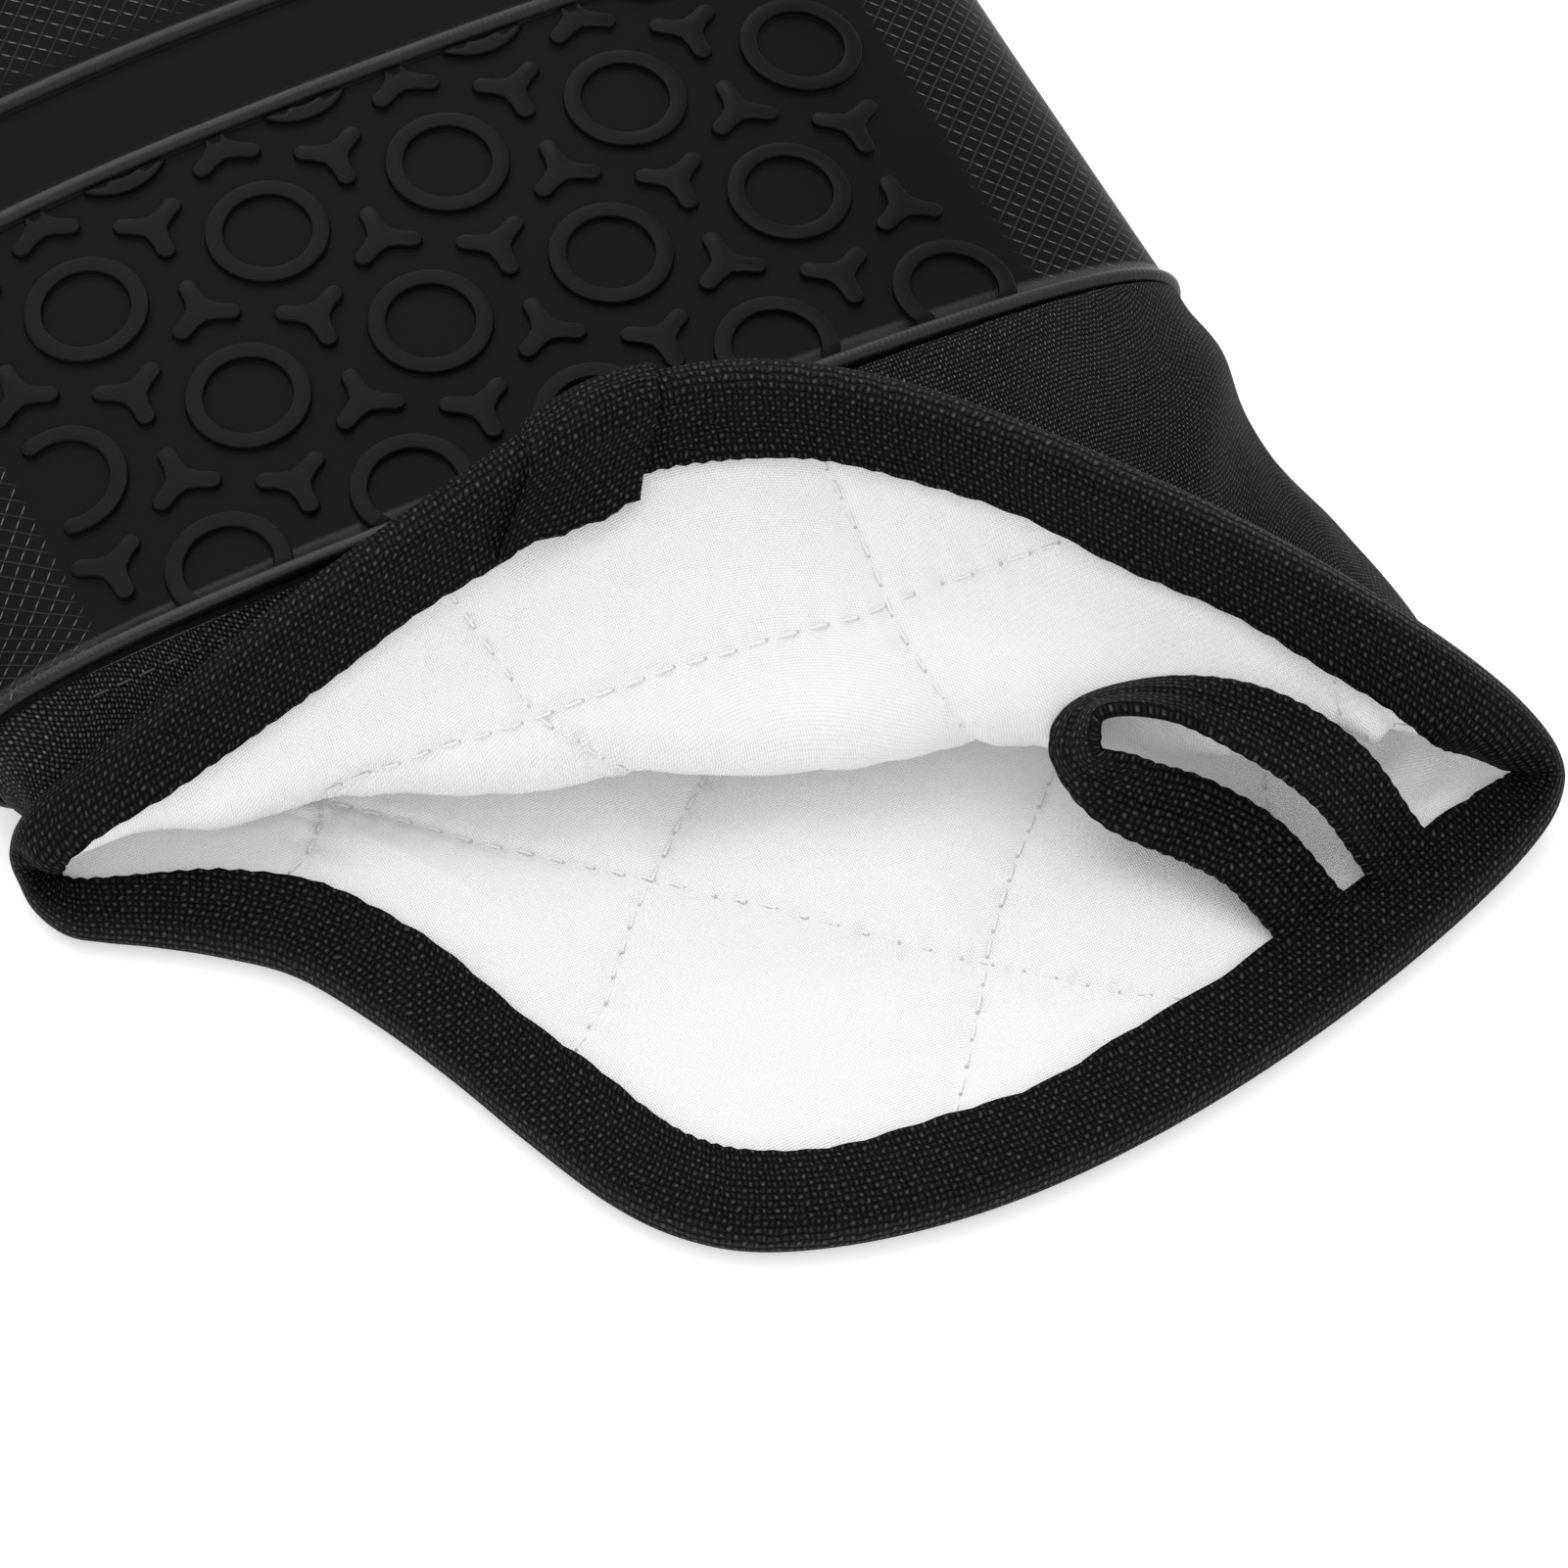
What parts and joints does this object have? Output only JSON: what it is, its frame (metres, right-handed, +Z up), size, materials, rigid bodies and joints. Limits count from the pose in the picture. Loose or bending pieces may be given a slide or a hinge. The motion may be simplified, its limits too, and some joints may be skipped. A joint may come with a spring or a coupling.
{
  "type": "silicone oven glove",
  "caption": "Oven glove with a moulded silicone hand, padded lining, woven cuff with a bound rim lying open, and a hanging loop.",
  "frame": {"origin": "middle of the underside of the whole glove's box, on the table the glove lies on", "axes": "+Y along the glove from the cuff mouth to the fingertips, +X across the hand away from the thumb, +Z up from the table"},
  "size_m": [0.1924, 0.3302, 0.0477],
  "materials": {
    "silicone": "satin",
    "lining": "matte",
    "cuff": "matte",
    "tape": "matte"
  },
  "bodies": {
    "root": {"silicone_shell": "silicone", "lining": "lining", "fabric_cuff": "cuff", "rim_binding": "tape", "binding_end": "tape", "hanging_loop": "tape"}
  },
  "joints": []
}
